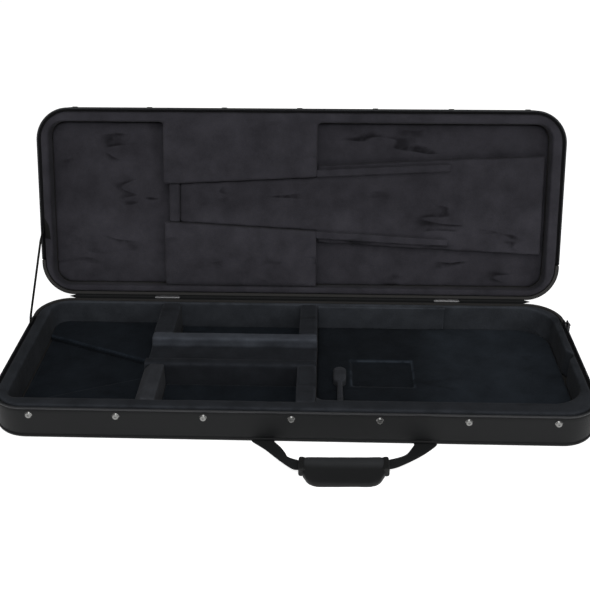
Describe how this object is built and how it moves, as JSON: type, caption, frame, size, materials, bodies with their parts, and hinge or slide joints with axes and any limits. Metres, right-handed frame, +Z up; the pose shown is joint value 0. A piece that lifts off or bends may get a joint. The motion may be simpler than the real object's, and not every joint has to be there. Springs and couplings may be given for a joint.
{
  "type": "electric guitar case",
  "caption": "Rectangular hard-foam electric guitar case lying open, plush lined, with hinged lid, ribbon stay, zipper and padded webbing handle.",
  "frame": {"origin": "centre of the base's bottom face, on the floor", "axes": "+X along the case towards the body end, +Y from the handle side to the hinges, +Z up"},
  "size_m": [1.059, 0.6516, 0.429],
  "materials": {
    "nylon": "matte woven nylon",
    "piping": "nylon over a soft roll",
    "board": "raw board",
    "plush": "short-pile plush",
    "tape": "woven tape",
    "coil": "satin nylon coil",
    "dark_metal": "black lacquer",
    "steel": "satin",
    "nickel": "bright nickel",
    "webbing": "ribbed webbing",
    "wrap": "padded nylon",
    "binding": "folded binding tape",
    "ribbon": "woven ribbon"
  },
  "bodies": {
    "base": {"base_bottom_panel": "nylon", "base_bottom_piping": "piping", "base_side_cover": "nylon", "base_board_tray": "board", "base_zipper_tape": "tape", "base_zipper_coil": "coil", "base_rim_foam": "plush", "base_cup_washers": "nickel", "base_screws": "nickel", "base_hinge_screws": "steel", "left_hinge_base_leaf": "steel", "right_hinge_base_leaf": "steel", "left_hinge_pin": "steel", "right_hinge_pin": "steel", "neck_rest": "plush", "left_divider_back": "plush", "left_divider_front": "plush", "right_divider_back": "plush", "right_divider_front": "plush", "headstock_floor_pad": "plush", "headstock_pad_back": "plush", "headstock_pad_front": "plush", "rear_box_floor": "plush", "front_box_floor": "plush", "body_floor_base": "plush", "body_floor_pad": "plush", "body_rear_pad": "plush", "horn_pad": "plush", "handle_tails": "webbing", "lid_stay": "ribbon"},
    "lid": {"lid_top_panel": "nylon", "lid_top_piping": "piping", "lid_side_cover": "nylon", "lid_board_tray": "board", "lid_zipper_tape": "tape", "lid_zipper_coil": "coil", "lid_rim_foam": "plush", "lid_cup_washers": "nickel", "lid_screws": "nickel", "lid_hinge_screws": "steel", "left_hinge_lid_leaf": "steel", "right_hinge_lid_leaf": "steel", "lid_lining": "plush", "lid_front_pad": "plush", "lid_rear_pad": "plush", "lid_neck_end_strip": "plush", "lid_neck_pad": "plush", "lid_front_ridge": "plush", "lid_rear_ridge": "plush", "stay_lid_tab": "ribbon"},
    "handle": {"handle_webbing": "webbing", "handle_grip": "wrap", "grip_binding_left": "binding", "grip_binding_right": "binding"},
    "slider": {"zipper_slider": "dark_metal"},
    "pull": {"zipper_pull": "dark_metal"}
  },
  "joints": [
    {"name": "lid_hinge", "type": "hinge", "parent": "base", "child": "lid", "pos_m": [0, 0.19275, 0.066], "axis": [1, 0, 0], "range_deg": [0, 108], "deforming": ["lid_stay"]},
    {"name": "handle_fold", "type": "hinge", "parent": "base", "child": "handle", "pos_m": [0.0885, -0.1903, 0.0015], "axis": [-1, 0, 0], "range_deg": [0, 66]},
    {"name": "slider_run", "type": "slide", "parent": "base", "child": "slider", "axis": [0, -1, 0], "range_m": [0, 0.22]},
    {"name": "pull_swing", "type": "hinge", "parent": "slider", "child": "pull", "pos_m": [0.5306, 0.107, 0.066], "axis": [0, -1, 0], "range_deg": [-5, 170]}
  ]
}
